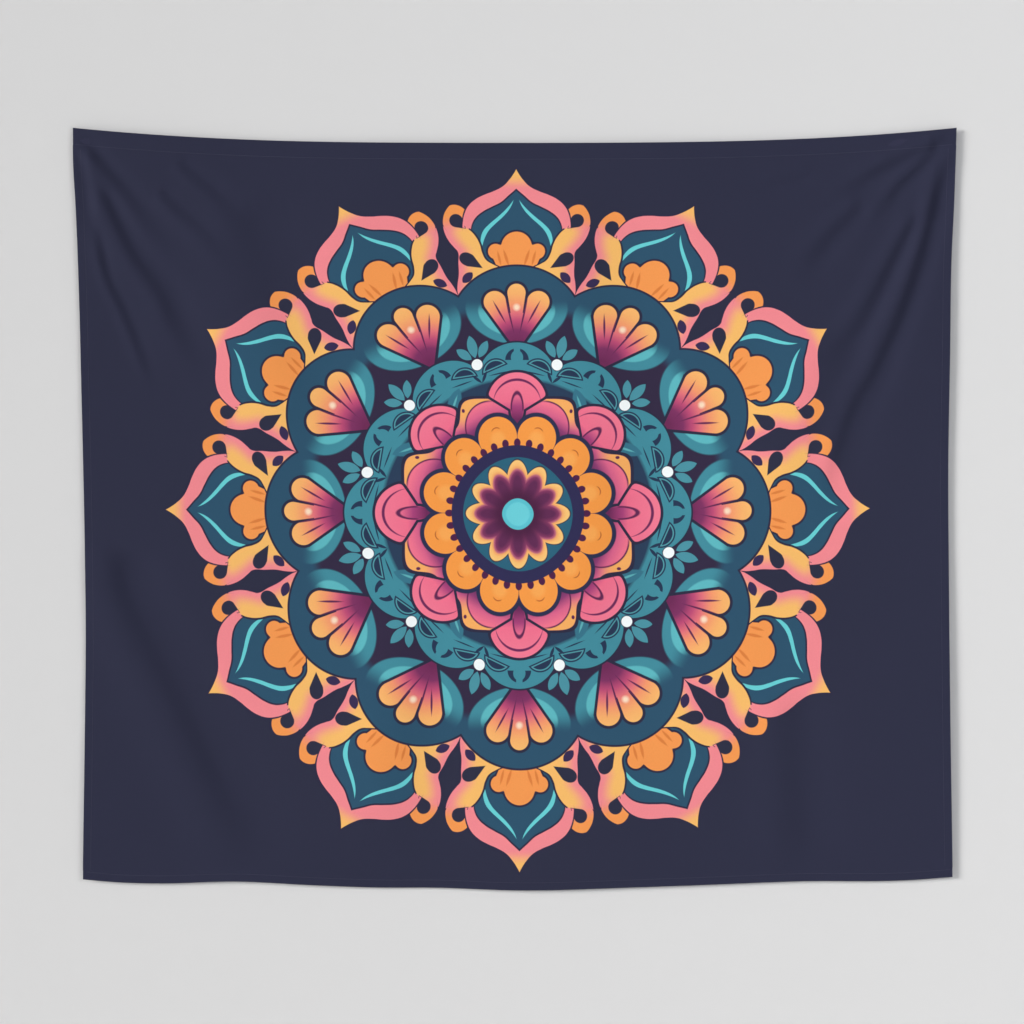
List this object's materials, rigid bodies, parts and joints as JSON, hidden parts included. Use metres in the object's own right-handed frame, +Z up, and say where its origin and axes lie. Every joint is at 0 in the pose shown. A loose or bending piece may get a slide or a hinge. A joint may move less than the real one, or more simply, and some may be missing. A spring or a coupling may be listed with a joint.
{
  "type": "tapestry wall hanging",
  "caption": "Rectangular printed cloth wall hanging, hemmed all round, with a round floral mandala on a dark ground, hung by hidden tape loops behind its top corners.",
  "frame": {"origin": "midway between the eyes of the two hanging loops, on the face of the wall", "axes": "+X to the viewer's right along the line of the two loops, +Y into the wall, +Z up"},
  "size_m": [1.52, 0.0075, 1.311],
  "materials": {
    "printed_cloth": "matte",
    "hem_cloth": "matte",
    "thread": "satin",
    "loop_tape": "matte"
  },
  "bodies": {
    "top_edge": {"top_hem": "hem_cloth", "top_hem_stitching": "thread", "left_corner_loop": "loop_tape", "right_corner_loop": "loop_tape", "left_loop_stitching": "thread", "right_loop_stitching": "thread"},
    "hanging_cloth": {"printed_panel": "printed_cloth", "bottom_hem": "hem_cloth", "left_hem": "hem_cloth", "right_hem": "hem_cloth", "bottom_hem_stitching": "thread", "left_hem_stitching": "thread", "right_hem_stitching": "thread"}
  },
  "joints": [
    {"name": "cloth_swing", "type": "hinge", "parent": "top_edge", "child": "hanging_cloth", "pos_m": [0, -0.00775, -0.0216], "axis": [-1, 0, 0], "range_deg": [0, 60]}
  ]
}
